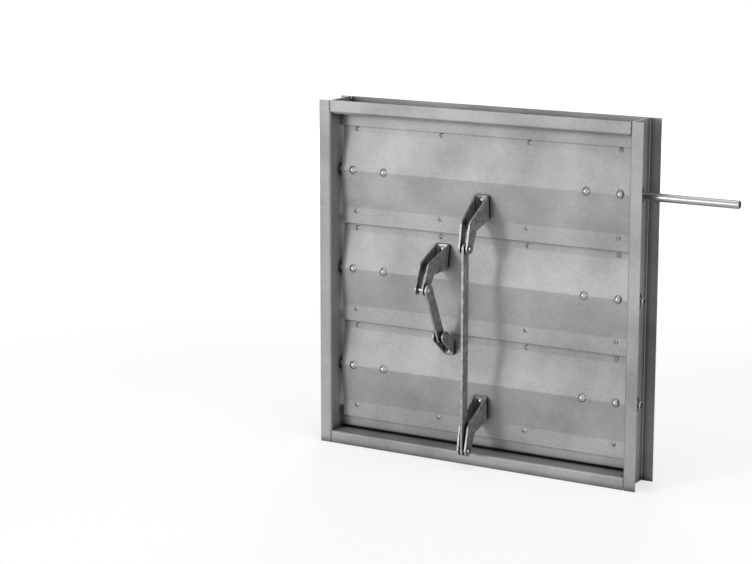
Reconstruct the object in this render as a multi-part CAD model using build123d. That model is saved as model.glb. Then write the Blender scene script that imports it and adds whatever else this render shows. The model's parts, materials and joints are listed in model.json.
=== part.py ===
from build123d import *
import math
import os

# Opposed-blade control damper of galvanised sheet steel, closed.
# x runs across the opening, y along the air flow with the linkage at -y, z up.
# The origin is under the middle of the sill, where the frame stands. Sizes are in mm.

# Frame
frame_width = 533.4
frame_depth = 63.5
flange_width = 19.05
frame_sheet = 1.6
frame_fold = 1.6
seam_gap = 0.1
weld_length = 5.0
weld_spacing = 7.5
weld_recess = 0.15

# Blades
blade_pitch = 152.4
edge_lap = 11.6
lap_gap = 2.2
edge_strip = 24.5
blade_sheet = 1.2
blade_fold = 8.0
blade_end_gap = 5.0
head_clearance = 6.9
sill_clearance = 19.6
full_open_angle = 90.0

# Stops
stop_lap = 14.5
stop_gap = 0.4
stop_foot = 26.0
stop_sheet = 1.6
stop_fold = 3.4
stop_end_gap = 1.0
stop_screw_offset = 20.0
stop_screw_inset = 22.0
stop_screw_count = 3

# Axles and bearings
axle_diameter = 12.7
axle_play = 0.1
axle_grip_length = 90.0
axle_stub_out = 11.0
shaft_projection = 133.3
shaft_chamfer = 1.0
shaft_groove_width = 1.6
shaft_groove_depth = 0.4
shaft_groove_gap = 1.0
bearing_running_fit = 0.05
bearing_wall = 3.2
bearing_flange_rim = 2.6
bearing_flange_thickness = 2.0
bearing_barrel_in = 1.0
seat_fit = 0.05

# Fasteners
rivet_diameter = 4.0
rivet_head_diameter = 7.2
rivet_head_height = 2.0
rivet_tail_diameter = 6.0
rivet_tail_height = 1.0
rivet_count = 4
rivet_end_inset = 23.65
rivet_edge_distance = 19.0
bolt_diameter = 6.35
bolt_head_diameter = 11.6
bolt_head_height = 3.6
bolt_end = 2.0
bolt_end_inset = 20.0
bolt_spacing = 54.0
nut_across_flats = 11.1
nut_height = 5.5
screw_diameter = 4.2
screw_head_diameter = 8.2
screw_head_height = 2.4
screw_tip = 3.5
bracket_rivet_diameter = 4.8
bracket_rivet_head_diameter = 9.0
bracket_rivet_head_height = 2.4

# Crank brackets
crank_x = 1.0
bracket_width = 24.0
bracket_sheet = 2.5
bracket_fold = 2.0
bracket_lean = 4.0
bracket_base_start = 18.0
bracket_base_length = 36.0
bracket_rivet_inset = 9.0
crank_stand_off = 58.0
elbow_drop = 1.0
elbow_inset = 12.0
elbow_radius = 10.5
tip_radius = 8.0
bridge_height = 12.0
bridge_bar_gap = 1.5
pin_diameter = 6.35
pin_head_diameter = 10.0
pin_head_height = 2.2
pin_tail_height = 2.0
pin_head_gap = 0.55

# Links
tie_bar_width = 15.9
link_thickness = 3.2
tie_bar_edge_clearance = 0.8
open_pivot_clearance = 0.35
open_pivot_gap = 0.6
cross_link_x = -55.0
cross_link_width = 19.05
lug_width = 18.0
lug_pin_reach = 31.0
lug_base_length = 20.0
lug_crease_gap = 0.5
lug_eye_radius = 9.0
lug_rivet_inset = 5.5

# Frame sizes that follow
blade_half_width = (blade_pitch + edge_lap) / 2
sill_to_axle = blade_half_width + sill_clearance
axle_to_head = blade_half_width + head_clearance
opening_width = frame_width - 2 * flange_width
opening_height = sill_to_axle + 2 * blade_pitch + axle_to_head
frame_height = opening_height + 2 * flange_width
side = opening_width / 2
sill_top = flange_width
head_under = sill_top + opening_height

# Axle heights
bottom_axle = sill_top + sill_to_axle
middle_axle = bottom_axle + blade_pitch
top_axle = middle_axle + blade_pitch

# Blade section: two skins fold round the axle and meet in flat edge strips
axle_radius = axle_diameter / 2
cavity_radius = axle_radius + axle_play
crease = blade_half_width - edge_strip
inner_ridge = cavity_radius * crease / math.sqrt(crease**2 - cavity_radius**2)
panel_slope = math.atan(inner_ridge / crease)
ridge = inner_ridge + blade_sheet / math.cos(panel_slope)
outer_crease = crease * (ridge - blade_sheet) / inner_ridge
blade_length = opening_width - 2 * blade_end_gap

# Closed blades lean so that each lower edge laps in front of the next upper edge
closed_tilt = math.asin((lap_gap + 2 * blade_sheet) / blade_pitch)


def on_blade(axle_height):
    """Place of a blade whose axle runs along x at this height."""
    return Pos(0, 0, axle_height) * Rot(-math.degrees(closed_tilt), 0, 0)


def lower_panel(x, distance):
    """Plane on the front face below the ridge: y up the panel, z out of it."""
    origin = (x, -ridge + distance * math.sin(panel_slope), -distance * math.cos(panel_slope))
    normal = (0, -math.cos(panel_slope), -math.sin(panel_slope))
    return Plane(origin=origin, x_dir=(1, 0, 0), z_dir=normal)


def upper_panel(x, distance):
    """Plane on the front face above the ridge: y up the panel, z out of it."""
    origin = (x, -ridge + distance * math.sin(panel_slope), distance * math.cos(panel_slope))
    normal = (0, -math.cos(panel_slope), math.sin(panel_slope))
    return Plane(origin=origin, x_dir=(1, 0, 0), z_dir=normal)


# Linkage geometry
lower_slope = panel_slope - closed_tilt
tip_level = blade_half_width + tie_bar_width / 2 + tie_bar_edge_clearance
tip_reach = (tip_level - crank_stand_off * math.sin(lower_slope)) / math.cos(lower_slope)
tip_drop = tip_reach - bracket_base_start
tip_place = Pos(0, -tip_drop, crank_stand_off)
tip_half_width = bracket_width / 2 - crank_stand_off * math.tan(math.radians(bracket_lean))
pin_end = tip_half_width + pin_head_gap + pin_tail_height
middle_bracket_x = cross_link_x - link_thickness / 2 - open_pivot_gap - pin_end
outer_bracket_seat = lower_panel(crank_x, bracket_base_start)
middle_bracket_seat = upper_panel(middle_bracket_x, bracket_base_start + bracket_base_length)
top_pin = (on_blade(top_axle) * outer_bracket_seat.location * tip_place).position
bottom_pin = (on_blade(bottom_axle) * outer_bracket_seat.location * tip_place).position
middle_pin = (on_blade(middle_axle) * middle_bracket_seat.location * tip_place).position
link_top = Vector(cross_link_x, middle_pin.Y, middle_pin.Z)


def lug_pin_level():
    """Height of the lug pin over its axle that makes the cross link as long open as closed."""
    y1 = link_top.Y
    z1 = link_top.Z - middle_axle
    y2 = -lug_pin_reach
    turn = math.radians(full_open_angle)
    s = math.sin(turn)
    c = math.cos(turn)
    s2 = math.sin(2 * turn)
    c2 = math.cos(2 * turn)
    top = blade_pitch * (s * (y1 + y2) + z1 * (c - 1)) + y1 * y2 * (1 - c2) + z1 * y2 * s2
    return top / (blade_pitch * (c - 1) + z1 * (c2 - 1) + y1 * s2)


lug_pin = Vector(cross_link_x, -lug_pin_reach, bottom_axle + lug_pin_level())
lug_seat = upper_panel(cross_link_x, crease - lug_crease_gap)
lug_eye = lug_seat.to_local_coords((on_blade(bottom_axle).inverse() * Pos(lug_pin)).position)


def fastener(shank, grip, head, head_height, tail=None, tail_height=0.0):
    """Round fastener along +y: domed head under y = 0, shank through the grip, tail past it."""
    shank_radius = shank / 2
    head_radius = head / 2
    ball = (head_radius**2 + head_height**2) / (2 * head_height)
    half_sweep = math.asin(head_radius / ball) / 2
    crown = (ball * math.sin(half_sweep), ball - head_height - ball * math.cos(half_sweep))
    end = grip + tail_height
    points = [(head_radius, 0), (shank_radius, 0)]
    if tail is None:
        points += [(shank_radius, end)]
    else:
        points += [(shank_radius, grip), (tail / 2, grip), (tail / 2, end)]
    points += [(0, end), (0, -head_height)]
    dome = ThreePointArc((0, -head_height), crown, (head_radius, 0))
    return revolve(make_face([dome, Polyline(points)]), Axis.Y)


def drill(diameter, length, direction):
    """Round cutter through the origin along a direction."""
    return Plane((0, 0, 0), z_dir=direction) * Cylinder(diameter / 2, length)


def hull_of(*shapes):
    """Flat outline stretched round lines and circles."""
    edges = []
    for shape in shapes:
        edges += shape.edges()
    return make_hull(edges)


# Frame members

def channel(length):
    """Sheet channel along +z: web at y = 0 facing the duct, flanges turned outward to +y."""
    section = Rectangle(frame_depth, flange_width, align=(Align.CENTER, Align.MIN))
    pocket = Rectangle(frame_depth - 2 * frame_sheet, flange_width, align=(Align.CENTER, Align.MIN))
    section -= Pos(0, frame_sheet) * pocket
    section = fillet(section.vertices().group_by(Axis.Y)[1], frame_fold)
    section = fillet(section.vertices().group_by(Axis.Y)[0], frame_fold + frame_sheet)
    return extrude(section, length)


bearing_bore = axle_diameter + 2 * bearing_running_fit
bearing_outer = bearing_bore + 2 * bearing_wall
axle_heights = {"bottom": bottom_axle, "middle": middle_axle, "top": top_axle}


def jamb():
    """Left jamb, pierced for the three bearings."""
    place = Plane((-side, 0, 0), x_dir=(0, 1, 0), z_dir=(0, 0, 1))
    member = place * channel(frame_height)
    hole = drill(bearing_outer + 2 * seat_fit, flange_width, (1, 0, 0))
    for height in axle_heights.values():
        member -= Pos(-side, 0, height) * hole
    return member


stop_screw_reach = side - stop_screw_inset
stop_screw_step = 2 * stop_screw_reach / (stop_screw_count - 1)
stop_screw_xs = [-stop_screw_reach + stop_screw_step * i for i in range(stop_screw_count)]


def rail():
    """Head rail at z = 0 facing down, pierced for the screws of its stop."""
    length = opening_width - 2 * seam_gap
    place = Plane((-length / 2, 0, 0), x_dir=(0, 1, 0), z_dir=(1, 0, 0))
    member = place * channel(length)
    hole = drill(screw_diameter + 2 * seat_fit, flange_width, (0, 0, 1))
    for x in stop_screw_xs:
        member -= Pos(x, stop_face - stop_screw_offset, 0) * hole
    return member


def corner_tacks():
    """Tack welds that fill the seam grooves at the four corners, both faces."""
    fold = frame_fold + frame_sheet
    groove = fold - frame_sheet / 2
    depth = frame_sheet
    tack = Pos(groove / 2, weld_recess + depth / 2, 0) * Box(groove, depth, weld_length)
    tack -= Pos(fold + seam_gap, fold, 0) * Cylinder(fold + seat_fit, 2 * weld_length)
    corner = Pos(side - seam_gap, -frame_depth / 2, 0) * tack
    tacks = []
    for level in (sill_top / 2, frame_height - flange_width / 2):
        for shift in (-weld_spacing / 2, weld_spacing / 2):
            right_front = Pos(0, 0, level + shift) * corner
            left_front = mirror(right_front, Plane.YZ)
            tacks += [right_front, left_front]
            tacks += [mirror(right_front, Plane.XZ), mirror(left_front, Plane.XZ)]
    return tacks


# Stops

stop_edge = blade_half_width - stop_lap
stop_face = stop_edge * math.sin(closed_tilt) - blade_sheet * math.cos(closed_tilt) - stop_gap


def stop_angle(leg):
    """Head stop under z = 0: upright leg with its closing face at y = stop_face, foot to -y."""
    section = Rectangle(stop_foot, leg, align=(Align.MAX, Align.MAX))
    inner = Rectangle(stop_foot, leg, align=(Align.MAX, Align.MAX))
    section -= Pos(-stop_sheet, -stop_sheet) * inner
    section = fillet(section.vertices().sort_by_distance((-stop_sheet, -stop_sheet))[0], stop_fold)
    section = fillet(section.vertices().sort_by_distance((0, 0))[0], stop_fold + stop_sheet)
    length = opening_width - 2 * stop_end_gap
    place = Plane((-length / 2, stop_face, 0), x_dir=(0, 1, 0), z_dir=(1, 0, 0))
    angle = extrude(place * section, length)
    hole = drill(screw_diameter + 2 * seat_fit, stop_foot, (0, 0, 1))
    for x in stop_screw_xs:
        angle -= Pos(x, stop_face - stop_screw_offset, 0) * hole
    return angle


def stop_screws():
    """Screws up through the foot of the head stop."""
    grip = stop_sheet + frame_sheet
    screw = fastener(screw_diameter, grip, screw_head_diameter, screw_head_height, None, screw_tip)
    upright = Pos(0, stop_face - stop_screw_offset, -stop_sheet) * Rot(90, 0, 0) * screw
    return [Pos(x, 0, 0) * upright for x in stop_screw_xs]


at_head = Pos(0, 0, head_under)
at_sill = Pos(0, 0, sill_top) * Rot(180, 0, 0)


# Bearings and axles

def bearing():
    """Flanged bush in the right jamb web, its flange in the trough outside."""
    flange_radius = bearing_outer / 2 + bearing_flange_rim
    barrel_length = frame_sheet + bearing_barrel_in
    low = (Align.CENTER, Align.CENTER, Align.MIN)
    high = (Align.CENTER, Align.CENTER, Align.MAX)
    bush = Cylinder(bearing_outer / 2, barrel_length, align=high)
    bush += Cylinder(flange_radius, bearing_flange_thickness, align=low)
    bush -= Cylinder(bearing_bore / 2, 4 * barrel_length)
    return Plane((side + frame_sheet, 0, 0), z_dir=(1, 0, 0)) * bush


bolt_xs = [blade_length / 2 - bolt_end_inset, blade_length / 2 - bolt_end_inset - bolt_spacing]


def stub_axle(outer_end):
    """Right axle from inside the blade to its outer end, cross-drilled for the blade bolts."""
    inner_end = blade_length / 2 - axle_grip_length
    low = (Align.CENTER, Align.CENTER, Align.MIN)
    bar = Cylinder(axle_radius, outer_end - inner_end, align=low)
    bar = chamfer(bar.edges().group_by(Axis.Z)[-1], shaft_chamfer)
    axle = Plane((inner_end, 0, 0), z_dir=(1, 0, 0)) * bar
    hole = drill(bolt_diameter + 2 * seat_fit, 2 * axle_diameter, (0, 1, 0))
    for x in bolt_xs:
        axle -= Pos(x, 0, 0) * hole
    return axle


def drive_shaft():
    """Long axle of the top blade, grooved outside its bearing where the free end starts."""
    shaft = stub_axle(frame_width / 2 + shaft_projection)
    groove_start = side + frame_sheet + bearing_flange_thickness + shaft_groove_gap
    ring = Circle(axle_diameter) - Circle(axle_radius - shaft_groove_depth)
    return shaft - extrude(Plane((groove_start, 0, 0), z_dir=(1, 0, 0)) * ring, shaft_groove_width)


# Blades

rivet_reach = blade_length / 2 - rivet_end_inset
rivet_step = 2 * rivet_reach / (rivet_count - 1)
rivet_level = blade_half_width - rivet_edge_distance
rivet_spots = []
for row in (-rivet_level, rivet_level):
    for i in range(rivet_count):
        rivet_spots.append(Pos(-rivet_reach + rivet_step * i, 0, row))
bolt_spots = [Pos(x, 0, 0) for x in bolt_xs] + [Pos(-x, 0, 0) for x in bolt_xs]


def blade_skin():
    """Front skin: ridge over the axle, two panels, flat edge strips with rivet holes."""
    inner = [(0, blade_half_width), (0, crease), (-inner_ridge, 0), (0, -crease), (0, -blade_half_width)]
    outer = [(-blade_sheet, -blade_half_width), (-blade_sheet, -outer_crease), (-ridge, 0)]
    outer += [(-blade_sheet, outer_crease), (-blade_sheet, blade_half_width)]
    section = make_face(Polyline(inner + outer, close=True))
    for bend in (inner[2], outer[1], outer[3]):
        section = fillet(section.vertices().sort_by_distance(bend)[0], blade_fold)
    for bend in (outer[2], inner[1], inner[3]):
        section = fillet(section.vertices().sort_by_distance(bend)[0], blade_fold + blade_sheet)
    skin = extrude(Plane.YZ * section, blade_length / 2, both=True)
    rivet_hole = drill(rivet_diameter + 2 * seat_fit, 4 * ridge, (0, 1, 0))
    bolt_hole = drill(bolt_diameter + 2 * seat_fit, 4 * ridge, (0, 1, 0))
    skin -= [spot * rivet_hole for spot in rivet_spots]
    skin -= [spot * bolt_hole for spot in bolt_spots]
    return skin


def edge_rivets():
    """Rivets that close both edges of one blade."""
    rivet = fastener(rivet_diameter, 2 * blade_sheet, rivet_head_diameter, rivet_head_height,
                     rivet_tail_diameter, rivet_tail_height)
    seated = Pos(0, -blade_sheet, 0) * rivet
    return [spot * seated for spot in rivet_spots]


def axle_bolts():
    """Bolts through both ridges and the stub axles of one blade."""
    bolt = fastener(bolt_diameter, 2 * ridge, bolt_head_diameter, bolt_head_height,
                    None, nut_height + bolt_end)
    seated = Pos(0, -ridge, 0) * bolt
    return [spot * seated for spot in bolt_spots]


def axle_nuts():
    """Nuts of the axle bolts, on the back ridge."""
    hexagon = RegularPolygon(nut_across_flats / 2, 6, major_radius=False)
    nut = extrude(hexagon - Circle(bolt_diameter / 2 + seat_fit), nut_height)
    seated = Plane((0, ridge, 0), z_dir=(0, 1, 0)) * nut
    return [spot * seated for spot in bolt_spots]


# Folded brackets

def folded(outline, width, height, lean):
    """Bracket folded from sheet: base at z = 0, two cheeks that keep inside the side outline."""
    slope = math.tan(math.radians(lean))
    half = width / 2
    inner_half = half - bracket_sheet / math.cos(math.radians(lean)) - bracket_sheet * slope
    top_half = half - height * slope
    inner_top = inner_half - (height - bracket_sheet) * slope
    body = Polygon((-half, 0), (half, 0), (top_half, height), (-top_half, height), align=None)
    room = Polygon((-inner_half, bracket_sheet), (inner_half, bracket_sheet),
                   (inner_top, height), (-inner_top, height), align=None)
    body = fillet(body.vertices().group_by(Axis.Y)[0], bracket_fold + bracket_sheet)
    room = fillet(room.vertices().group_by(Axis.Y)[0], bracket_fold)
    span = 2 * height + 4 * width
    lengthwise = Plane((0, 0, 0), x_dir=(1, 0, 0), z_dir=(0, -1, 0))
    trough = extrude(lengthwise * (body - room), span, both=True)
    return trough & extrude(Plane.YZ * outline, width, both=True)


def base_rivet_levels(length, inset):
    """Heights of the two base rivets under the upper end of a bracket's base."""
    return [-inset, inset - length]


def crank_bracket():
    """Goose-neck bracket: base under y = 0, cheeks run out to an elbow and on to the pin."""
    elbow = Pos(-bracket_base_length - elbow_drop, crank_stand_off - elbow_inset) * Circle(elbow_radius)
    tip = Pos(-tip_drop, crank_stand_off) * Circle(tip_radius)
    root = Line((0, 0), (-bracket_base_length, 0))
    outline = hull_of(root, elbow) + hull_of(elbow, tip)
    height = crank_stand_off + 2 * tip_radius
    bracket = folded(outline, bracket_width, height, bracket_lean)
    bar_lean = (tip_drop - bracket_base_length) * math.tan(lower_slope)
    bridge_top = crank_stand_off - bar_lean - tie_bar_width / 2 - bridge_bar_gap
    slope = math.tan(math.radians(bracket_lean))
    bridge_width = bracket_width - 2 * bracket_sheet - 2 * (bridge_top - bridge_height) * slope
    bridge = Box(bridge_width, bracket_sheet, bridge_height, align=(Align.CENTER, Align.CENTER, Align.MAX))
    bridge = Pos(0, -bracket_base_length, bridge_top) * bridge
    bracket += bridge
    bracket -= tip_place * drill(pin_diameter + 2 * seat_fit, 2 * bracket_width, (1, 0, 0))
    hole = drill(bracket_rivet_diameter + 2 * seat_fit, 4 * bracket_sheet, (0, 0, 1))
    for level in base_rivet_levels(bracket_base_length, bracket_rivet_inset):
        bracket -= Pos(0, level, 0) * hole
    return bracket


def link_lug():
    """Clevis on the bottom blade for the lower end of the cross link."""
    eye = Pos(lug_eye.Y, lug_eye.Z) * Circle(lug_eye_radius)
    root = Line((0, 0), (-lug_base_length, 0))
    height = lug_eye.Z + 2 * lug_eye_radius
    lug = folded(hull_of(root, eye), lug_width, height, 0)
    lug -= Pos(0, lug_eye.Y, lug_eye.Z) * drill(pin_diameter + 2 * seat_fit, 2 * lug_width, (1, 0, 0))
    hole = drill(bracket_rivet_diameter + 2 * seat_fit, 4 * bracket_sheet, (0, 0, 1))
    for level in base_rivet_levels(lug_base_length, lug_rivet_inset):
        lug -= Pos(0, level, 0) * hole
    return lug


def base_rivets(levels):
    """Rivets through a bracket's base and the front skin."""
    grip = bracket_sheet + blade_sheet
    rivet = fastener(bracket_rivet_diameter, grip, bracket_rivet_head_diameter,
                     bracket_rivet_head_height, None, rivet_tail_height)
    seated = Pos(0, 0, bracket_sheet) * Rot(-90, 0, 0) * rivet
    return [Pos(0, level, 0) * seated for level in levels]


def base_holes(seat, levels):
    """Cutters for the base rivets of a bracket in the front skin."""
    hole = drill(bracket_rivet_diameter + 2 * seat_fit, 6 * blade_sheet, (0, 0, 1))
    return [seat.location * Pos(0, level, 0) * hole for level in levels]


crank_levels = base_rivet_levels(bracket_base_length, bracket_rivet_inset)
lug_levels = base_rivet_levels(lug_base_length, lug_rivet_inset)


def pivot_pin(half_width, gap):
    """Headed pin along x through two cheeks, centred on the origin."""
    reach = half_width + gap
    pin = fastener(pin_diameter, 2 * reach, pin_head_diameter, pin_head_height,
                   pin_head_diameter, pin_tail_height)
    return Pos(-reach, 0, 0) * Rot(0, 0, -90) * pin


def link_pin():
    """Headed pin in the upper end of the cross link, in line with the middle bracket's pin."""
    pin = fastener(pin_diameter, link_thickness, pin_head_diameter, pin_head_height)
    return Pos(link_thickness / 2, 0, 0) * Rot(0, 0, 90) * pin


# Links

pin_hole = pin_diameter + 2 * seat_fit
running_hole = pin_diameter + 2 * bearing_running_fit
open_hole = pin_diameter + 2 * open_pivot_clearance


def flat_link(start, end, width, start_hole, end_hole):
    """Round-ended flat bar between two pin centres in one plane across x."""
    along = end - start
    place = Plane(start, x_dir=along, z_dir=(1, 0, 0))
    length = along.length
    outline = Pos(length / 2, 0) * SlotCenterToCenter(length, width)
    outline -= Circle(start_hole / 2)
    outline -= Pos(length, 0) * Circle(end_hole / 2)
    return extrude(place * outline, link_thickness / 2, both=True)


# All pieces by name

pieces = {}
pieces["left_jamb"] = jamb()
pieces["right_jamb"] = mirror(jamb(), Plane.YZ)
pieces["head_rail"] = at_head * rail()
pieces["sill_rail"] = at_sill * rail()
pieces["corner_welds"] = Compound(children=corner_tacks())
pieces["head_stop"] = at_head * stop_angle(head_clearance + stop_lap)
pieces["sill_stop"] = at_sill * stop_angle(sill_clearance + stop_lap)
screws = stop_screws()
pieces["head_stop_screws"] = Compound(children=[at_head * screw for screw in screws])
pieces["sill_stop_screws"] = Compound(children=[at_sill * screw for screw in screws])

for name, height in axle_heights.items():
    right = Pos(0, 0, height) * bearing()
    pieces[f"{name}_right_bearing"] = right
    pieces[f"{name}_left_bearing"] = mirror(right, Plane.YZ)

stub_end = side + frame_sheet + axle_stub_out
seats = {"bottom": outer_bracket_seat, "middle": middle_bracket_seat, "top": outer_bracket_seat}
for name, height in axle_heights.items():
    place = on_blade(height)
    seat = seats[name]
    skin = blade_skin()
    front = skin - base_holes(seat, crank_levels)
    if name == "bottom":
        front -= base_holes(lug_seat, lug_levels)
    pieces[f"{name}_front_skin"] = place * front
    pieces[f"{name}_back_skin"] = place * mirror(skin, Plane.XZ)
    pieces[f"{name}_edge_rivets"] = Compound(children=[place * rivet for rivet in edge_rivets()])
    stub = stub_axle(stub_end)
    pieces[f"{name}_left_axle"] = place * mirror(stub, Plane.YZ)
    if name == "top":
        pieces["drive_shaft"] = place * drive_shaft()
    else:
        pieces[f"{name}_right_axle"] = place * stub
    pieces[f"{name}_axle_bolts"] = Compound(children=[place * bolt for bolt in axle_bolts()])
    pieces[f"{name}_axle_nuts"] = Compound(children=[place * nut for nut in axle_nuts()])
    on_seat = place * seat.location
    pieces[f"{name}_crank_bracket"] = on_seat * crank_bracket()
    rivets = [on_seat * rivet for rivet in base_rivets(crank_levels)]
    pieces[f"{name}_bracket_rivets"] = Compound(children=rivets)

pin = pivot_pin(tip_half_width, pin_head_gap)
pieces["top_pivot_pin"] = Pos(top_pin) * pin
pieces["bottom_pivot_pin"] = Pos(bottom_pin) * pin
pieces["middle_pivot_pin"] = Pos(middle_pin) * pin

on_lug_seat = on_blade(bottom_axle) * lug_seat.location
pieces["link_lug"] = on_lug_seat * link_lug()
pieces["lug_rivets"] = Compound(children=[on_lug_seat * rivet for rivet in base_rivets(lug_levels)])
pieces["lug_pin"] = Pos(lug_pin) * pivot_pin(lug_width / 2, seat_fit)

pieces["tie_bar"] = flat_link(top_pin, bottom_pin, tie_bar_width, running_hole, open_hole)
pieces["cross_link"] = flat_link(lug_pin, link_top, cross_link_width, running_hole, pin_hole)
pieces["link_pin"] = Pos(link_top) * link_pin()

os.makedirs("parts", exist_ok=True)
for name, piece in pieces.items():
    export_step(piece, f"parts/{name}.step")
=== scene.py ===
"""Looks of an opposed-blade control damper: finishes, turned fasteners, weld beads and a plain studio."""

import json
import math

import bmesh
import bpy
from mathutils import Matrix, Vector


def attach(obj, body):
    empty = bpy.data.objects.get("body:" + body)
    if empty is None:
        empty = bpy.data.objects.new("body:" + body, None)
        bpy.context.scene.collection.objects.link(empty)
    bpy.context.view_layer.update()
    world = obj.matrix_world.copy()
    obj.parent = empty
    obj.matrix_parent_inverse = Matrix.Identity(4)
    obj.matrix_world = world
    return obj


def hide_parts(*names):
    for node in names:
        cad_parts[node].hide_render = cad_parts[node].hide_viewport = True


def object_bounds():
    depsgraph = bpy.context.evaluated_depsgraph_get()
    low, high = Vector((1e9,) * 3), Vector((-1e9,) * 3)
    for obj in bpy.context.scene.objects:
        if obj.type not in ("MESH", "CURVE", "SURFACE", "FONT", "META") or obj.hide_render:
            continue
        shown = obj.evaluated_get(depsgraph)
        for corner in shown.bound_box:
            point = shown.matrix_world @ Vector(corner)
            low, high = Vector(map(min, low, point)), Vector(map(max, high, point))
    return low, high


bl_info = {
    "name": "Opposed-blade damper",
    "version": (1, 0, 0),
    "blender": (4, 5, 0),
    "location": "3D View > Sidebar > Damper",
    "description": "Dresses a packed sheet-steel duct damper and sets it in a plain studio",
    "category": "Object",
}

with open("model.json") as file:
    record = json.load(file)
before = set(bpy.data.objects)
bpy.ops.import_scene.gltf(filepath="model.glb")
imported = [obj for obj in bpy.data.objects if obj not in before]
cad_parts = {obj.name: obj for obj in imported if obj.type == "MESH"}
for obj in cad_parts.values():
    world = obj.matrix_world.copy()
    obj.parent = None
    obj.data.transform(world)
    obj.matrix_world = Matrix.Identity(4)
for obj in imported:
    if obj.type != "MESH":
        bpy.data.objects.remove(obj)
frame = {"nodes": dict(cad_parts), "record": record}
CAD_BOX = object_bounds()

MM = 0.001
ACROSS = Vector((1, 0, 0))
BLADES = ("bottom", "middle", "top")
LAMPS = ("key", "fill", "side", "back", "top")

# Meshes: how near two corners are one, how small a sliver is closed, and which folds shade sharp
MERGE = 0.001 * MM
FINE = 0.01 * MM
SHARP_ANGLE = math.radians(32)

# Reading a fastener: share of its widest radius that counts as rim, and depth of the slice at its end
RIM_SHARE = 0.99
END_SLICE = 0.1 * MM

# Domed heads, rivet tails and the broken cores in the rivets
RIVET_DOME_STEPS = 6
HEAD_DOME_STEPS = 8
TAIL_FACE = 0.7
TAIL_BEVEL = 0.4 * MM
TAIL_HEIGHT = 0.9 * MM
CORE_FOOT = 0.9
CORE_TOP = 0.7
CORE_SHOULDER = 0.4 * MM
CORE_HEIGHT = 0.5 * MM

# Threads, screw points and cross recesses
LEVELS_PER_TURN = 8
BARED_TURNS = 3
SCREW_POINT = 2 * MM
POINT_TIP = 0.12
RECESS_LIFT = 0.2 * MM

# Hexagon nuts
NUT_STEPS = 72
NUT_FACE = 0.97
NUT_BEVEL = math.tan(math.radians(30))
BORE_BEVEL = 0.5 * MM

# Weld beads
BEAD_LEVELS = 24
BEAD_STEPS = 16
BEAD_SWELL = 0.6
RIPPLE = 0.07
RIPPLES = 7

# Surface patterns
# Painted shade in seams and corners: occlusion samples, and the occlusion range from fully shaded to unshaded
SEAM_SAMPLES = 8
SEAM_RANGE = {"From Min": 0.35, "From Max": 0.9}
FLAKE_RAGS = 1.6
FLAKE_SHIFT = 0.8
FLAKE_GLOSS = 0.015
CLOUD_RANGE = {"From Min": 0.35, "From Max": 0.65}
CLOUD_SHARE = 0.75
SHEET_GRAIN = 1.2 * MM
SHEET_RELIEF = 0.03 * MM
WORN_PATCH = 9 * MM
WORN_RANGE = {"From Min": 0.42, "From Max": 0.72}
PLATE_GLOSS = {"To Min": 0.34, "To Max": 0.55}
PLATE_GRAIN = 0.8 * MM
PLATE_RELIEF = 0.05 * MM
LINE_LENGTH = 45 * MM
LINE_WIDTH = 0.7 * MM
LINE_RELIEF = 0.02 * MM
LINE_GLOSS = {"To Min": 0.2, "To Max": 0.42}
END_FACING = 0.95
SAWN_ROUGHNESS = 0.65
SPECK_GLOSS = 0.08
SPECK_RELIEF = 0.03 * MM


def linear(code):
    """Linear colour of an sRGB hex value."""
    parts = [int(code[i:i + 2], 16) / 255 for i in (0, 2, 4)]
    return tuple(v / 12.92 if v <= 0.04045 else ((v + 0.055) / 1.055) ** 2.4 for v in parts)


def colour_choice(name, description, code):
    """Colour property with an sRGB default."""
    return bpy.props.FloatVectorProperty(
        name=name, description=description, default=linear(code), subtype="COLOR", size=3, min=0, max=1)


def length_choice(name, description, millimetres):
    """Length property with a default in millimetres."""
    return bpy.props.FloatProperty(
        name=name, description=description, default=millimetres * MM, unit="LENGTH", min=0, precision=5)


def point_choice(name, description, default):
    """Point property in the frame of the part, in metres."""
    return bpy.props.FloatVectorProperty(
        name=name, description=description, default=default, subtype="XYZ", unit="LENGTH", size=3)


def size_choice(name, description, width, height):
    """Width and height property with a default in millimetres."""
    return bpy.props.FloatVectorProperty(
        name=name, description=description, default=(width * MM, height * MM), unit="LENGTH", size=2, min=0)


def power_choice(name, description, watts):
    """Power property of a lamp."""
    return bpy.props.FloatProperty(name=name, description=description, default=watts, unit="POWER")


def share_choice(name, description, default):
    """Plain number from 0 to 1."""
    return bpy.props.FloatProperty(
        name=name, description=description, default=default, subtype="FACTOR", min=0, max=1)


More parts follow.
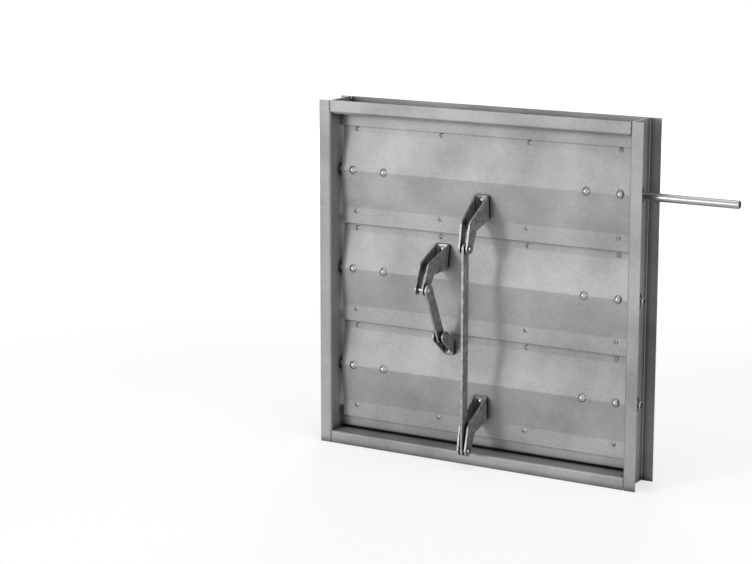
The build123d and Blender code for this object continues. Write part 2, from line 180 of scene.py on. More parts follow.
class DamperFinish(bpy.types.PropertyGroup):
    """Colours and grain of the damper's metals."""

    zinc_light: colour_choice("Zinc, light flakes", "Brightest crystals of the galvanised sheet", "A6A7A8")
    zinc_dark: colour_choice("Zinc, dark flakes", "Dullest crystals of the galvanised sheet", "868788")
    linkage: colour_choice("Linkage steel", "Dull plating of the brackets and links", "8A8B8C")
    linkage_worn: colour_choice("Linkage steel, worn", "Rubbed patches of the brackets and links", "B4B5B6")
    axle: colour_choice("Axle steel", "Drawn bar of the axles and the drive shaft", "A2A3A4")
    plating: colour_choice("Fastener plating", "Zinc plating of the fasteners and the pins", "ABACAD")
    # Rivet core: a near-black colour, partly painted shade of the hole in each rivet head
    mandrel: colour_choice("Rivet core", "Broken mandrels in the blind rivets", "2A2A2B")
    nylon: colour_choice("Bearing nylon", "Black nylon of the axle bearings", "1A1A1B")
    # Painted shade: a dark colour on both sawn end faces of the axles
    sawn: colour_choice("Sawn bar end", "Dull saw-cut ends of the axles", "3A3A3B")
    weld: colour_choice("Weld bead", "Burnt zinc on the tack welds", "7C7B79")
    # Painted shade: a near-black colour mixed into seams and corners by ambient occlusion, and how far it
    # reaches
    seam_dirt: colour_choice("Seam dirt", "Dust and oxide that gather in seams and corners", "161617")
    seam_reach: length_choice("Seam reach", "How far the dirt spreads out of a seam", 14.0)
    zinc_metal: share_choice("Zinc metal", "How metallic the weathered zinc looks", 0.6)
    spangle: length_choice("Spangle", "Width of one zinc crystal", 3.0)
    cloud: length_choice("Cloud", "Width of one pale or dull patch of zinc", 110.0)
    sheet_wave: length_choice("Sheet wave", "Height of the bulges in a flat panel", 2.0)
    wave_length: length_choice("Wave length", "Distance between two bulges", 150.0)
    sheet_roughness: share_choice("Sheet roughness", "Roughness of the galvanised sheet", 0.55)


class DamperDetail(bpy.types.PropertyGroup):
    """Sizes of the fine detail that the fasteners carry."""

    turning_steps: bpy.props.IntProperty(
        name="Turning steps", description="Faces round a turned piece", default=40, min=12)
    thread_pitch: length_choice("Thread pitch", "Pitch of the blade bolts", 1.27)
    screw_pitch: length_choice("Screw pitch", "Pitch of the tapping screws", 1.4)
    thread_depth: length_choice("Thread depth", "Depth of a thread groove", 0.45)
    core_radius: length_choice("Rivet core radius", "Radius of the hole in a blind rivet's head", 1.35)
    core_depth: length_choice("Rivet core depth", "Depth of the hole in a blind rivet's head", 1.1)
    root_sink: length_choice("Root sink", "How far inside its head a screw's shank starts", 0.53)
    recess_width: length_choice("Recess width", "Width of one arm of a screw's cross recess", 1.1)
    recess_depth: length_choice("Recess depth", "Depth of a screw's cross recess", 1.4)
    weld_crown: length_choice("Weld crown", "How far a bead stands out of its seam", 0.35)


class DamperStage(bpy.types.PropertyGroup):
    """Camera, lamps and floor."""

    camera_place: point_choice("Camera place", "Where the camera stands", (1.5174, -2.8214, 0.9302))
    camera_target: point_choice("Camera target", "Point in the middle of the picture", (-0.1860, 0.0, 0.2549))
    lens: bpy.props.FloatProperty(
        name="Lens", description="Focal length on a 36 mm wide sensor", default=105.35, unit="CAMERA")
    key_place: point_choice("Key lamp place", "Middle of the main soft box", (-2.77, -5.22, 1.31))
    key_size: size_choice("Key lamp size", "Width and height of the main soft box", 1000, 1000)
    key_power: power_choice("Key lamp power", "Power of the main soft box", 76)
    top_place: point_choice("Top lamp place", "Middle of the overhead soft box", (0.2, -0.4, 2.6))
    top_size: size_choice("Top lamp size", "Width and height of the overhead soft box", 1600, 1600)
    top_power: power_choice("Top lamp power", "Power of the overhead soft box", 12)
    fill_place: point_choice("Fill lamp place", "Middle of the low soft box", (-1.5, -2.6, 0.45))
    fill_size: size_choice("Fill lamp size", "Width and height of the low soft box", 1600, 800)
    fill_power: power_choice("Fill lamp power", "Power of the low soft box", 11)
    side_place: point_choice("Side lamp place", "Middle of the soft box on the right", (2.9, -1.4, 0.9))
    side_size: size_choice("Side lamp size", "Width and height of the soft box on the right", 2000, 2000)
    side_power: power_choice("Side lamp power", "Power of the soft box on the right", 16)
    back_place: point_choice("Back lamp place", "Middle of the soft box behind the part", (-1.6, 3.2, 1.4))
    back_size: size_choice("Back lamp size", "Width and height of the soft box behind the part", 1600, 1600)
    back_power: power_choice("Back lamp power", "Power of the soft box behind the part", 30)
    floor_size: length_choice("Floor size", "Side of the floor", 40000)
    floor_colour: colour_choice("Floor colour", "Pale studio floor", "E4E4E4")
    ambient: share_choice("Ambient light", "Strength of the light from all around", 0.25)
    near_glow: share_choice("Near glow", "White on top of the floor's shading by the part", 0.55)
    far_glow: share_choice("Far glow", "White on top of the floor's shading far from the part", 0.9)
    glow_start: length_choice("Glow start", "How far from the part the floor starts to whiten", 700)
    glow_end: length_choice("Glow end", "How far from the part the floor is all white", 3000)


def add_node(tree, kind, settings=None, links=None):
    """Add one node with its settings and the sockets that feed it."""
    node = tree.nodes.new(kind)
    for key, value in (settings or {}).items():
        if isinstance(key, int) or key in node.inputs:
            node.inputs[key].default_value = value
        else:
            setattr(node, key, value)
    for key, socket in (links or {}).items():
        tree.links.new(socket, node.inputs[key])
    return node


def opaque(colour):
    """Colour with full alpha, as a shader socket takes it."""
    return (*colour, 1.0)


def new_material(name, metallic):
    """Material with its node tree, its shader and object coordinates."""
    material = bpy.data.materials.new(name)
    material.use_nodes = True
    tree = material.node_tree
    shader = tree.nodes["Principled BSDF"]
    shader.inputs["Metallic"].default_value = metallic
    place = add_node(tree, "ShaderNodeTexCoord").outputs["Object"]
    return material, tree, shader, place


def noise(tree, place, size, detail):
    """Cloudy pattern with patches about this wide."""
    return add_node(tree, "ShaderNodeTexNoise", {"Scale": 1 / size, "Detail": detail}, {"Vector": place})


def spread(tree, value, limits):
    """Value mapped between limits."""
    return add_node(tree, "ShaderNodeMapRange", limits, {"Value": value}).outputs["Result"]


def around(centre, reach):
    """Limits of a mapped value to both sides of a centre."""
    return {"To Min": centre - reach, "To Max": centre + reach}


def blend(tree, factor, first, second):
    """Colour between a first one and a second one, which may be a socket."""
    settings = {"data_type": "RGBA", 6: opaque(first)}
    links = {0: factor}
    if isinstance(second, bpy.types.NodeSocket):
        links[7] = second
    else:
        settings[7] = opaque(second)
    return add_node(tree, "ShaderNodeMix", settings, links).outputs[2]


def bump(tree, height, distance, strength=1.0, under=None):
    """Normal of a relief this deep, on top of another one if that is given."""
    links = {"Height": height}
    if under is not None:
        links["Normal"] = under
    settings = {"Distance": distance, "Strength": strength}
    return add_node(tree, "ShaderNodeBump", settings, links).outputs["Normal"]


def feed(tree, shader, colour, roughness, normal):
    """Link colour, roughness and relief to a shader."""
    for key, socket in (("Base Color", colour), ("Roughness", roughness), ("Normal", normal)):
        tree.links.new(socket, shader.inputs[key])


def dirty_seams(tree, finish, colour):
    """Colour socket with painted shade: darker in seams and inner corners, by ambient occlusion."""
    settings = {"Distance": finish.seam_reach, "samples": SEAM_SAMPLES}
    shelter = add_node(tree, "ShaderNodeAmbientOcclusion", settings)
    # clean is the share of the colour left without painted shade
    clean = spread(tree, shelter.outputs["AO"], SEAM_RANGE)
    return blend(tree, clean, finish.seam_dirt, colour)


def galvanised_sheet(finish):
    """Hot-dip galvanised sheet steel."""
    # Zinc froze on it in flat crystals: each flake has its own grey and gloss. Thin sheet bulges a little
    # between its folds, which clouds broad reflections. Its seams and corners get painted shade.
    material, tree, shader, place = new_material("hot_dip_galvanised_sheet", finish.zinc_metal)
    ragged = noise(tree, place, finish.spangle / FLAKE_RAGS, 2)
    shifted = add_node(
        tree, "ShaderNodeVectorMath",
        {"operation": "MULTIPLY_ADD", 1: (finish.spangle * FLAKE_SHIFT,) * 3},
        {0: ragged.outputs["Color"], 2: place})
    flakes = add_node(
        tree, "ShaderNodeTexVoronoi", {"Scale": 1 / finish.spangle}, {"Vector": shifted.outputs["Vector"]})
    flake = add_node(tree, "ShaderNodeSeparateColor", links={"Color": flakes.outputs["Color"]})
    haze = noise(tree, place, finish.cloud, 3)
    clouds = spread(tree, haze.outputs["Fac"], CLOUD_RANGE)
    tone = add_node(
        tree, "ShaderNodeMix", {"Factor": CLOUD_SHARE}, {2: flake.outputs["Red"], 3: clouds})
    colour = blend(tree, tone.outputs[0], finish.zinc_dark, finish.zinc_light)
    gloss = spread(tree, flake.outputs["Green"], around(finish.sheet_roughness, FLAKE_GLOSS))
    wave = noise(tree, place, finish.wave_length, 1)
    bulges = bump(tree, wave.outputs["Fac"], finish.sheet_wave)
    grain = noise(tree, place, SHEET_GRAIN, 3)
    relief = bump(tree, grain.outputs["Fac"], SHEET_RELIEF, 0.6, bulges)
    feed(tree, shader, dirty_seams(tree, finish, colour), gloss, relief)
    return material


def plated_steel(finish):
    """Zinc-plated linkage steel, dulled by handling."""
    # The plating greys unevenly and stays paler where hands and pins rub it. Its folds get painted shade.
    material, tree, shader, place = new_material("dull_plated_steel", 0.7)
    patches = noise(tree, place, WORN_PATCH, 6).outputs["Fac"]
    colour = blend(tree, spread(tree, patches, WORN_RANGE), finish.linkage, finish.linkage_worn)
    grain = noise(tree, place, PLATE_GRAIN, 2)
    relief = bump(tree, grain.outputs["Fac"], PLATE_RELIEF, 0.5)
    feed(tree, shader, dirty_seams(tree, finish, colour), spread(tree, patches, PLATE_GLOSS), relief)
    return material


def drawn_steel(finish):
    """Cold-drawn round bar."""
    # The die leaves long fine lines along the bar, so the gloss runs in streaks. The saw leaves both ends
    # torn, and they dull; both end faces are also painted dark, which is painted shade.
    material, tree, shader, place = new_material("cold_drawn_bar", 1.0)
    stretched = add_node(
        tree, "ShaderNodeMapping", {"Scale": (1 / LINE_LENGTH, 1 / LINE_WIDTH, 1 / LINE_WIDTH)},
        {"Vector": place})
    lines = noise(tree, stretched.outputs["Vector"], 1, 2).outputs["Fac"]
    normal = add_node(tree, "ShaderNodeTexCoord").outputs["Normal"]
    facing = add_node(tree, "ShaderNodeSeparateXYZ", links={0: normal})
    endwise = add_node(tree, "ShaderNodeMath", {"operation": "ABSOLUTE"}, {0: facing.outputs["X"]})
    sawn = add_node(
        tree, "ShaderNodeMath", {"operation": "GREATER_THAN", 1: END_FACING}, {0: endwise.outputs[0]})
    # Both end faces are rough from the saw and take a dark colour that is painted shade
    colour = blend(tree, sawn.outputs[0], finish.axle, finish.sawn)
    rough = add_node(
        tree, "ShaderNodeMix", {3: SAWN_ROUGHNESS}, {0: sawn.outputs[0], 2: spread(tree, lines, LINE_GLOSS)})
    feed(tree, shader, colour, rough.outputs[0], bump(tree, lines, LINE_RELIEF, 0.5))
    return material


def speckled(name, colour, metallic, grain, roughness, shade):
    """Material with a fine even grain: each grain differs a little in shade and gloss."""
    material, tree, shader, place = new_material(name, metallic)
    specks = noise(tree, place, grain, 3).outputs["Fac"]
    dark = tuple(part * (1 - shade) for part in colour)
    gloss = spread(tree, specks, around(roughness, SPECK_GLOSS))
    feed(tree, shader, blend(tree, specks, dark, colour), gloss, bump(tree, specks, SPECK_RELIEF, 0.4))
    return material


def plated_zinc(finish):
    """Electroplated zinc on bolts, nuts, pins, screws and rivets."""
    # A thin bright plating over turned steel: smooth, with only a breath of grain.
    return speckled(
        "electroplated_zinc", finish.plating, metallic=1.0, grain=1.5 * MM, roughness=0.3, shade=0.2)


def mandrel_steel(finish):
    """Broken mandrel of a blind rivet."""
    # Torn steel down in a hole, rough; its near-black colour is painted shade of the hole.
    return speckled(
        "torn_mandrel_steel", finish.mandrel, metallic=0.8, grain=0.5 * MM, roughness=0.6, shade=0.5)


def moulded_nylon(finish):
    """Black nylon of the bearings."""
    # Moulded in a sparked tool: black, with a fine even grain and a soft gloss.
    return speckled("moulded_nylon", finish.nylon, metallic=0.0, grain=0.6 * MM, roughness=0.45, shade=0.4)


def burnt_zinc(finish):
    """Tack weld through galvanised sheet."""
    # The arc burns the zinc off and leaves a dull, sooty bead.
    return speckled("burnt_zinc_weld", finish.weld, metallic=0.6, grain=1.0 * MM, roughness=0.55, shade=0.45)


def finish_of(make):
    """The material that a finish function makes, made once."""
    known = finish_of.made
    if make.__name__ not in known:
        known[make.__name__] = make(bpy.context.scene.damper_finish)
    return known[make.__name__]


finish_of.made = {}


def dress(nodes, make):
    """Give CAD nodes a finish."""
    for name in nodes:
        if name not in frame["nodes"]:
            raise RuntimeError(f"The frame has no node named {name}")
        mesh = frame["nodes"][name].data
        mesh.materials.clear()
        mesh.materials.append(finish_of(make))


def nodes_ending(*endings):
    """Names of the CAD nodes with these endings."""
    return sorted(name for name in frame["nodes"] if name.endswith(endings))


def solids_of(node):
    """Corner points of each separate solid in a CAD node."""
    work = bmesh.new()
    work.from_mesh(frame["nodes"][node].data)
    bmesh.ops.remove_doubles(work, verts=work.verts, dist=MERGE)
    left = set(work.verts)
    solids = []
    while left:
        found = [left.pop()]
        for corner in found:
            for edge in corner.link_edges:
                other = edge.other_vert(corner)
                if other in left:
                    left.remove(other)
                    found.append(other)
        solids.append([corner.co.copy() for corner in found])
    work.free()
    return sorted(solids, key=lambda points: tuple(middle(points)))


def box_of(points):
    """Lowest and highest corner of the box round some points."""
    low = Vector([min(p[i] for p in points) for i in range(3)])
    high = Vector([max(p[i] for p in points) for i in range(3)])
    return low, high


def middle(points):
    """Middle of the box round some points."""
    low, high = box_of(points)
    return (low + high) / 2


def blade_front(blade):
    """Direction out of the front of a closed blade, square to its two rivet rows."""
    spots = sorted((middle(points) for points in solids_of(f"{blade}_edge_rivets")), key=lambda p: p.z)
    half = len(spots) // 2
    rise = sum(spots[half:], Vector()) - sum(spots[:half], Vector())
    return ACROSS.cross(rise).normalized()


def measured(points, axis):
    """Middle of a turned solid, and the radius and height of its points about an axis."""
    centre = middle(points)
    rows = []
    for point in points:
        height = (point - centre).dot(axis)
        rows.append(((point - centre - height * axis).length, height))
    return centre, rows


def gauge(points, axis):
    """Middle of a domed fastener, its rim radius, the heights of its foot, crown and end, its end radius."""
    centre, rows = measured(points, axis)
    rim = max(radius for radius, _ in rows)
    foot = max(height for radius, height in rows if radius > RIM_SHARE * rim)
    crown = max(height for _, height in rows)
    end = min(height for _, height in rows)
    shank = max(radius for radius, height in rows if height < end + END_SLICE)
    return centre, rim, foot, crown, end, shank


def headed(points, axis):
    """Crown, direction out of the head, and outline from the tail up of a domed pin or rivet."""
    reach = max(point.dot(axis) for point in points)
    if sum(point.dot(axis) > reach - FINE for point in points) > 1:
        axis = -axis
    crown = max(points, key=lambda point: point.dot(axis))
    levels = {}
    for point in points:
        height = (point - crown).dot(axis)
        levels.setdefault(round(height / FINE), []).append((point - crown - height * axis).length)
    outline = [(0, min(levels) * FINE)]
    for level in sorted(levels):
        ring = sorted(levels[level], key=lambda radius: abs(radius - outline[-1][0]))
        outline.append((ring[0], level * FINE))
        if abs(ring[-1] - ring[0]) > 2 * FINE:
            outline.append((ring[-1], level * FINE))
    return crown, axis, outline


def body_of(node):
    """Name of the body that a CAD node rides."""
    bodies = frame["record"]["behaviour"]["bodies"]
    return next(body for body, nodes in bodies.items() if node in nodes)


def seat(centre, axis):
    """Placement that turns +z into an axis at a point."""
    return Matrix.Translation(centre) @ axis.to_track_quat("Z", "X").to_matrix().to_4x4()


def turn(work, profile, place, steps):
    """Add a turned solid: (radius, height) points from bottom to top, spun round z."""
    before = set(work.verts)
    corners = [work.verts.new((radius, 0, height)) for radius, height in profile]
    lines = [work.edges.new(pair) for pair in zip(corners, corners[1:])]
    bmesh.ops.spin(
        work, geom=corners + lines, cent=(0, 0, 0), axis=(0, 0, 1), angle=2 * math.pi, steps=steps,
        use_merge=True)
    made = [corner for corner in work.verts if corner not in before]
    bmesh.ops.transform(work, matrix=place, verts=made)


def skin(work, rows, place, joined=False):
    """Add a closed skin over rings of points: capped at both ends, or the last ring joined to the first."""
    rings = [[work.verts.new(place @ Vector(point)) for point in row] for row in rows]
    count = len(rings[0])
    for low, high in zip(rings, rings[1:] + rings[:1] if joined else rings[1:]):
        for i in range(count):
            j = (i + 1) % count
            work.faces.new((low[i], low[j], high[j], high[i]))
    if not joined:
        work.faces.new(list(reversed(rings[0])))
        work.faces.new(rings[-1])


def thread(work, place, radius, length, pitch, depth, steps, point=0.0):
    """Add a threaded end along +z; the last stretch tapers over the length of its point."""
    levels = max(2, round(length / pitch * LEVELS_PER_TURN))
    rows = []
    for level in range(levels + 1):
        height = length * level / levels
        taper = min(1.0, max(POINT_TIP, (length - height) / point)) if point else 1.0
        row = []
        for step in range(steps):
            turned = step / steps
            phase = (height / pitch - turned) % 1
            groove = depth * (1 - abs(2 * phase - 1))
            reach = (radius - groove) * taper
            angle = 2 * math.pi * turned
            row.append((reach * math.cos(angle), reach * math.sin(angle), height))
        rows.append(row)
    skin(work, rows, place)


def dome(radius, height, steps):
    """Points of a round head from its rim up to its crown."""
    ball = (radius**2 + height**2) / (2 * height)
    sweep = math.asin(radius / ball)
    points = []
    for step in range(steps + 1):
        angle = sweep * (1 - step / steps)
        points.append((ball * math.sin(angle), height - ball + ball * math.cos(angle)))
    return points


def finish_piece(name, work, body, make, replaced=()):
    """Turn a work mesh into a named piece that rides a body."""
    bmesh.ops.remove_doubles(work, verts=work.verts, dist=MERGE)
    bmesh.ops.recalc_face_normals(work, faces=work.faces)
    mesh = bpy.data.meshes.new(name)
    work.to_mesh(mesh)
    work.free()
    mesh.shade_smooth()
    mesh.set_sharp_from_angle(angle=SHARP_ANGLE)
    mesh.materials.append(finish_of(make))
    piece = bpy.data.objects.new(name, mesh)
    bpy.context.scene.collection.objects.link(piece)
    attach(piece, body)
    if replaced:
        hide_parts(*replaced)
    return piece


class DAMPER_OT_sheet_frame(bpy.types.Operator):
    """Finish the jambs, the rails and the blade stops as galvanised sheet"""

    bl_idname = "damper.sheet_frame"
    bl_label = "Frame and stops"

    def execute(self, context):
        dress(nodes_ending("_jamb", "_rail", "_stop"), galvanised_sheet)
        return {"FINISHED"}


class DAMPER_OT_blade_skins(bpy.types.Operator):
    """Finish the skins of the blades as galvanised sheet"""

    bl_idname = "damper.blade_skins"
    bl_label = "Blade skins"

    def execute(self, context):
        dress(nodes_ending("_skin"), galvanised_sheet)
        return {"FINISHED"}


class DAMPER_OT_linkage(bpy.types.Operator):
    """Finish the brackets, the lug and the links"""

    bl_idname = "damper.linkage"
    bl_label = "Linkage"

    def execute(self, context):
        dress(nodes_ending("_crank_bracket", "link_lug", "tie_bar", "cross_link"), plated_steel)
        return {"FINISHED"}


class DAMPER_OT_pins(bpy.types.Operator):
    """Turn the pivot pins and the bracket rivets of the linkage"""

    bl_idname = "damper.pins"
    bl_label = "Pins and bracket rivets"

    def execute(self, context):
        steps = context.scene.damper_detail.turning_steps
        for node in nodes_ending("_pin"):
            self.turned(node, ACROSS, steps)
        for node in nodes_ending("bracket_rivets", "lug_rivets"):
            low, high = sorted((middle(points) for points in solids_of(node)), key=lambda spot: spot.z)
            self.turned(node, ACROSS.cross(high - low).normalized(), steps)
        return {"FINISHED"}

    def turned(self, node, axis, steps):
        """Turn each solid of a node round its axis."""
        work = bmesh.new()
        for points in solids_of(node):
            crown, outward, outline = headed(points, axis)
            turn(work, outline, seat(crown, outward), steps)
        finish_piece(f"turned_{node}", work, body_of(node), plated_zinc, [node])


class DAMPER_OT_axles(bpy.types.Operator):
    """Finish the axles, the drive shaft and their bearings"""

    bl_idname = "damper.axles"
    bl_label = "Axles and bearings"

    def execute(self, context):
        dress(nodes_ending("_axle", "drive_shaft"), drawn_steel)
        dress(nodes_ending("_bearing"), moulded_nylon)
        return {"FINISHED"}


class DAMPER_OT_edge_rivets(bpy.types.Operator):
    """Make the blind rivets along the blade edges, with their broken mandrels"""

    bl_idname = "damper.edge_rivets"
    bl_label = "Edge rivets"

    def execute(self, context):
        detail = context.scene.damper_detail
        for blade in BLADES:
            self.rivets(blade, detail)
        return {"FINISHED"}

    def rivets(self, blade, detail):
        """All rivets of one blade, and the cores in their heads."""
        node = f"{blade}_edge_rivets"
        front = blade_front(blade)
        core = detail.core_radius
        shells = bmesh.new()
        cores = bmesh.new()
        for points in solids_of(node):
            centre, rim, foot, crown, end, tail = gauge(points, front)
            head = [(r, foot + h) for r, h in dome(rim, crown - foot, RIVET_DOME_STEPS) if r > core]
            lip = head[-1][1]
            floor = lip - detail.core_depth
            profile = [(0, end), (tail * TAIL_FACE, end), (tail, end + TAIL_BEVEL), (tail, end + TAIL_HEIGHT)]
            profile += [(rim, foot)] + head[1:] + [(core, lip), (core, floor), (0, floor)]
            place = seat(centre, front)
            turn(shells, profile, place, detail.turning_steps)
            stub = [(0, floor), (core * CORE_FOOT, floor), (core * CORE_TOP, floor + CORE_SHOULDER)]
            stub.append((0, floor + CORE_HEIGHT))
            turn(cores, stub, place, detail.turning_steps // 2)
        body = f"{blade}_blade"
        finish_piece(f"{blade}_blind_rivets", shells, body, plated_zinc, [node])
        finish_piece(f"{blade}_rivet_cores", cores, body, mandrel_steel)


class DAMPER_OT_axle_bolts(bpy.types.Operator):
    """Make the threaded bolts and the chamfered nuts that hold the axles"""

    bl_idname = "damper.axle_bolts"
    bl_label = "Axle bolts and nuts"

    def execute(self, context):
        detail = context.scene.damper_detail
        for blade in BLADES:
            front = blade_front(blade)
            self.bolts(blade, front, detail)
            self.nuts(blade, front)
        return {"FINISHED"}

    def bolts(self, blade, front, detail):
        """Round-headed bolts of one blade, threaded where they leave the nut."""
        node = f"{blade}_axle_bolts"
        work = bmesh.new()
        for points in solids_of(node):
            centre, rim, foot, crown, end, shank = gauge(points, front)
            bared = BARED_TURNS * detail.thread_pitch
            head = [(r, foot + h) for r, h in dome(rim, crown - foot, HEAD_DOME_STEPS)]
            profile = [(0, end + bared), (shank, end + bared), (shank, foot)] + head
            turn(work, profile, seat(centre, front), detail.turning_steps)
            tip = seat(centre + front * (end + bared), -front)
            thread(work, tip, shank, bared, detail.thread_pitch, detail.thread_depth, detail.turning_steps)
        body = f"{blade}_blade"
        finish_piece(f"{blade}_threaded_bolts", work, body, plated_zinc, [node])

    def nuts(self, blade, front):
        """Hexagon nuts of one blade, their corners turned off at both ends."""
        node = f"{blade}_axle_nuts"
        work = bmesh.new()
        for points in solids_of(node):
            centre, rows = measured(points, front)
            corner = max(radius for radius, _ in rows)
            bore = min(radius for radius, _ in rows)
            half = max(height for _, height in rows)
            flat = corner * math.cos(math.pi / 6)
            face = NUT_FACE * flat
            mouth = bore + BORE_BEVEL
            outlines = []
            for step in range(NUT_STEPS):
                angle = 2 * math.pi * step / NUT_STEPS
                side = (angle + math.pi / 6) % (math.pi / 3) - math.pi / 6
                reach = flat / math.cos(side)
                drop = max(0.0, reach - face) * NUT_BEVEL
                lower = [(bore, -half + BORE_BEVEL), (mouth, -half), (face, -half), (reach, drop - half)]
                upper = [(reach, half - drop), (face, half), (mouth, half), (bore, half - BORE_BEVEL)]
                outlines.append([(radius * math.cos(angle), radius * math.sin(angle), height)
                                 for radius, height in lower + upper])
            skin(work, list(zip(*outlines)), seat(centre, front), joined=True)
        body = f"{blade}_blade"
        finish_piece(f"{blade}_hexagon_nuts", work, body, plated_zinc, [node])


class DAMPER_OT_stop_screws(bpy.types.Operator):
    """Make the tapping screws of the blade stops, with cross recesses and threads"""

    bl_idname = "damper.stop_screws"
    bl_label = "Stop screws"

    def execute(self, context):
        detail = context.scene.damper_detail
        self.screws("head", Vector((0, 0, -1)), detail)
        self.screws("sill", Vector((0, 0, 1)), detail)
        return {"FINISHED"}

    def screws(self, rail, outward, detail):
        """Screws of one stop; their heads face the opening."""
        node = f"{rail}_stop_screws"
        heads = bmesh.new()
        cutters = bmesh.new()
        for points in solids_of(node):
            centre, rim, foot, crown, end, shank = gauge(points, outward)
            place = seat(centre, outward)
            head = [(r, foot + h) for r, h in dome(rim, crown - foot, HEAD_DOME_STEPS)]
            profile = [(0, foot), (rim, foot)] + head[1:]
            turn(heads, profile, place, detail.turning_steps)
            start = foot + detail.root_sink
            thread(heads, seat(centre + outward * start, -outward), shank, start - end,
                   detail.screw_pitch, detail.thread_depth, detail.turning_steps, SCREW_POINT)
            for long_side, short_side in ((rim, detail.recess_width), (detail.recess_width, rim)):
                size = Matrix.Diagonal((long_side, short_side, detail.recess_depth, 1))
                level = crown - detail.recess_depth / 2 + RECESS_LIFT
                arm = place @ Matrix.Translation((0, 0, level)) @ size
                bmesh.ops.create_cube(cutters, size=1, matrix=arm)
        piece = finish_piece(
            f"{rail}_tapping_screws", heads, "frame", plated_zinc, [node])
        self.recess(piece, cutters)

    def recess(self, piece, cutters):
        """Cut the recesses out of the screw heads, and close the slivers that the cut leaves."""
        mesh = bpy.data.meshes.new("recess_cutters")
        cutters.to_mesh(mesh)
        cutters.free()
        cutter = bpy.data.objects.new("recess_cutters", mesh)
        bpy.context.scene.collection.objects.link(cutter)
        cut = piece.modifiers.new("recess", "BOOLEAN")
        cut.operation = "DIFFERENCE"
        cut.use_self = True
        cut.object = cutter
        graph = bpy.context.evaluated_depsgraph_get()
        shape = bpy.data.meshes.new_from_object(piece.evaluated_get(graph))
        piece.modifiers.clear()
        piece.data = shape
        clean = bmesh.new()
        clean.from_mesh(shape)
        bmesh.ops.remove_doubles(clean, verts=clean.verts, dist=FINE)
        bmesh.ops.dissolve_degenerate(clean, edges=clean.edges, dist=FINE)
        bmesh.ops.triangulate(clean, faces=clean.faces)
        bmesh.ops.dissolve_degenerate(clean, edges=clean.edges, dist=FINE)
        clean.to_mesh(shape)
        clean.free()
        shape.set_sharp_from_angle(angle=SHARP_ANGLE)
        bpy.data.objects.remove(cutter)


class DAMPER_OT_corner_welds(bpy.types.Operator):
    """Make the rippled tack welds in the corner seams"""

    bl_idname = "damper.corner_welds"
    bl_label = "Corner welds"

    def execute(self, context):
        crown = context.scene.damper_detail.weld_crown
        work = bmesh.new()
        for points in solids_of("corner_welds"):
            self.bead(work, points, crown)
        finish_piece("corner_tack_beads", work, "frame", burnt_zinc, ["corner_welds"])
        return {"FINISHED"}

    def bead(self, work, points, crown):
        """One lens-shaped bead with the ripples of its puddle."""
        low, high = box_of(points)
        centre = (low + high) / 2
        half = centre - low
        rows = []
        for level in range(1, BEAD_LEVELS):
            along = 2 * level / BEAD_LEVELS - 1
            swell = math.sqrt(1 - along**2) ** BEAD_SWELL
            ripple = 1 + RIPPLE * math.cos(RIPPLES * math.pi * along)
            row = []
            for step in range(BEAD_STEPS):
                angle = 2 * math.pi * step / BEAD_STEPS
                row.append(((half.x + crown) * swell * ripple * math.cos(angle),
                            (half.y + crown) * swell * ripple * math.sin(angle), half.z * along))
            rows.append(row)
        skin(work, rows, Matrix.Translation(centre))


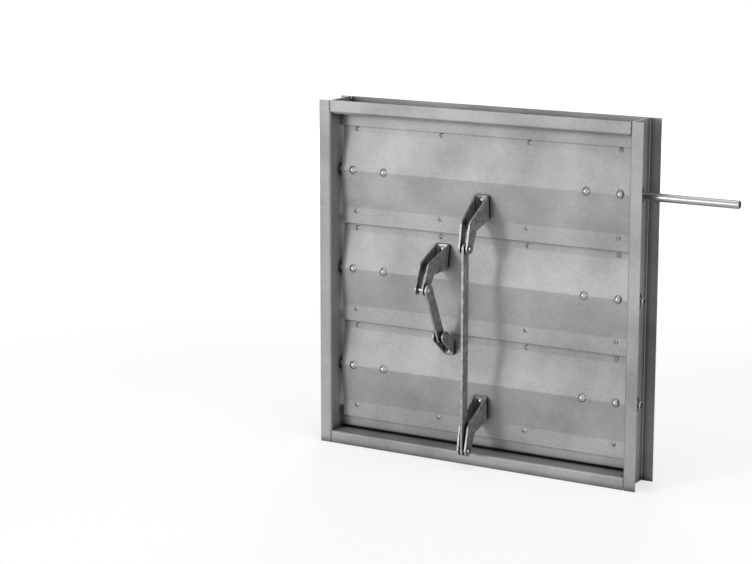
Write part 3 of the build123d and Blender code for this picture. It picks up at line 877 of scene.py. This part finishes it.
class DAMPER_OT_stage(bpy.types.Operator):
    """Set the camera, the soft boxes, the pale floor and the white surroundings"""

    bl_idname = "damper.stage"
    bl_label = "Studio"

    def execute(self, context):
        stage = context.scene.damper_stage
        context.scene.view_settings.view_transform = "Standard"
        self.camera(context.scene, stage)
        for lamp in LAMPS:
            self.soft_box(lamp, stage)
        self.floor(stage)
        self.surroundings(context.scene, stage)
        return {"FINISHED"}

    def aim(self, thing, target):
        """Point the -z axis of a camera or lamp at a target."""
        thing.rotation_euler = (Vector(target) - thing.location).to_track_quat("-Z", "Y").to_euler()

    def camera(self, scene, stage):
        """Long lens, level horizon."""
        data = bpy.data.cameras.new("camera")
        data.sensor_fit = "HORIZONTAL"
        data.lens = stage.lens
        data.clip_end = 100
        camera = bpy.data.objects.new("camera", data)
        scene.collection.objects.link(camera)
        camera.location = stage.camera_place
        self.aim(camera, stage.camera_target)
        scene.camera = camera

    def soft_box(self, lamp, stage):
        """Flat lamp aimed at the middle of the part."""
        name = f"{lamp}_soft_box"
        data = bpy.data.lights.new(name, "AREA")
        data.shape = "RECTANGLE"
        data.size, data.size_y = getattr(stage, f"{lamp}_size")
        data.energy = getattr(stage, f"{lamp}_power")
        box = bpy.data.objects.new(name, data)
        bpy.context.scene.collection.objects.link(box)
        box.location = getattr(stage, f"{lamp}_place")
        self.aim(box, middle(CAD_BOX))

    def seen(self, tree):
        """1 for rays from the camera, from gloss and through glass, 0 for the light that bounces."""
        path = add_node(tree, "ShaderNodeLightPath")
        gloss = add_node(
            tree, "ShaderNodeMath", {"operation": "MAXIMUM"},
            {0: path.outputs["Is Camera Ray"], 1: path.outputs["Is Glossy Ray"]})
        every = add_node(
            tree, "ShaderNodeMath", {"operation": "MAXIMUM"},
            {0: gloss.outputs[0], 1: path.outputs["Is Transmission Ray"]})
        return every.outputs[0]

    def floor(self, stage):
        """Wide matt floor under the part, white to the camera except in the part's shadow."""
        half = stage.floor_size / 2
        level = CAD_BOX[0][2]
        mesh = bpy.data.meshes.new("floor")
        corners = [(-half, -half, level), (half, -half, level), (half, half, level), (-half, half, level)]
        mesh.from_pydata(corners, [], [(0, 1, 2, 3)])
        floor = bpy.data.objects.new("floor", mesh)
        bpy.context.scene.collection.objects.link(floor)
        material = bpy.data.materials.new("matt_studio_floor")
        material.use_nodes = True
        tree = material.node_tree
        tree.nodes.clear()
        matt = add_node(tree, "ShaderNodeBsdfDiffuse", {"Color": opaque(stage.floor_colour)})
        place = add_node(tree, "ShaderNodeNewGeometry").outputs["Position"]
        distance = add_node(tree, "ShaderNodeVectorMath", {"operation": "LENGTH"}, {0: place})
        white = add_node(
            tree, "ShaderNodeMapRange",
            {"interpolation_type": "SMOOTHSTEP", "From Min": stage.glow_start, "From Max": stage.glow_end,
             "To Min": stage.near_glow, "To Max": stage.far_glow},
            {"Value": distance.outputs["Value"]})
        strength = add_node(
            tree, "ShaderNodeMath", {"operation": "MULTIPLY"},
            {0: self.seen(tree), 1: white.outputs["Result"]})
        glow = add_node(tree, "ShaderNodeEmission", links={"Strength": strength.outputs[0]})
        both = add_node(tree, "ShaderNodeAddShader", links={0: matt.outputs[0], 1: glow.outputs[0]})
        add_node(tree, "ShaderNodeOutputMaterial", links={"Surface": both.outputs[0]})
        mesh.materials.append(material)

    def surroundings(self, scene, stage):
        """World that is white to look at and gives an even fill."""
        world = bpy.data.worlds.new("studio")
        scene.world = world
        world.use_nodes = True
        tree = world.node_tree
        tree.nodes.clear()
        strength = add_node(
            tree, "ShaderNodeMapRange", {"To Min": stage.ambient, "To Max": 1.0}, {"Value": self.seen(tree)})
        light = add_node(
            tree, "ShaderNodeBackground", {"Color": (1, 1, 1, 1)}, {"Strength": strength.outputs["Result"]})
        add_node(tree, "ShaderNodeOutputWorld", links={"Surface": light.outputs[0]})


OPERATORS = (
    DAMPER_OT_sheet_frame, DAMPER_OT_blade_skins, DAMPER_OT_linkage, DAMPER_OT_pins, DAMPER_OT_axles,
    DAMPER_OT_edge_rivets, DAMPER_OT_axle_bolts, DAMPER_OT_stop_screws, DAMPER_OT_corner_welds,
    DAMPER_OT_stage)


class DAMPER_PT_panel(bpy.types.Panel):
    """Sidebar panel with the damper's choices and steps"""

    bl_idname = "DAMPER_PT_panel"
    bl_label = "Damper"
    bl_space_type = "VIEW_3D"
    bl_region_type = "UI"
    bl_category = "Damper"

    def draw(self, context):
        for group in (context.scene.damper_finish, context.scene.damper_detail, context.scene.damper_stage):
            box = self.layout.box()
            for name in group.__annotations__:
                box.prop(group, name)
        for operator in OPERATORS:
            self.layout.operator(operator.bl_idname)


GROUPS = {"damper_finish": DamperFinish, "damper_detail": DamperDetail, "damper_stage": DamperStage}


def register():
    """Register the choices, the steps and the panel."""
    for name, group in GROUPS.items():
        bpy.utils.register_class(group)
        setattr(bpy.types.Scene, name, bpy.props.PointerProperty(type=group))
    for kind in (*OPERATORS, DAMPER_PT_panel):
        bpy.utils.register_class(kind)


def unregister():
    """Take everything out again."""
    for kind in (DAMPER_PT_panel, *reversed(OPERATORS)):
        bpy.utils.unregister_class(kind)
    for name, group in reversed(GROUPS.items()):
        delattr(bpy.types.Scene, name)
        bpy.utils.unregister_class(group)


def main():
    """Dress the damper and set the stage."""
    register()
    bpy.ops.damper.sheet_frame()
    bpy.ops.damper.blade_skins()
    bpy.ops.damper.linkage()
    bpy.ops.damper.pins()
    bpy.ops.damper.axles()
    bpy.ops.damper.edge_rivets()
    bpy.ops.damper.axle_bolts()
    bpy.ops.damper.stop_screws()
    bpy.ops.damper.corner_welds()
    bpy.ops.damper.stage()


if __name__ == "__main__":
    main()
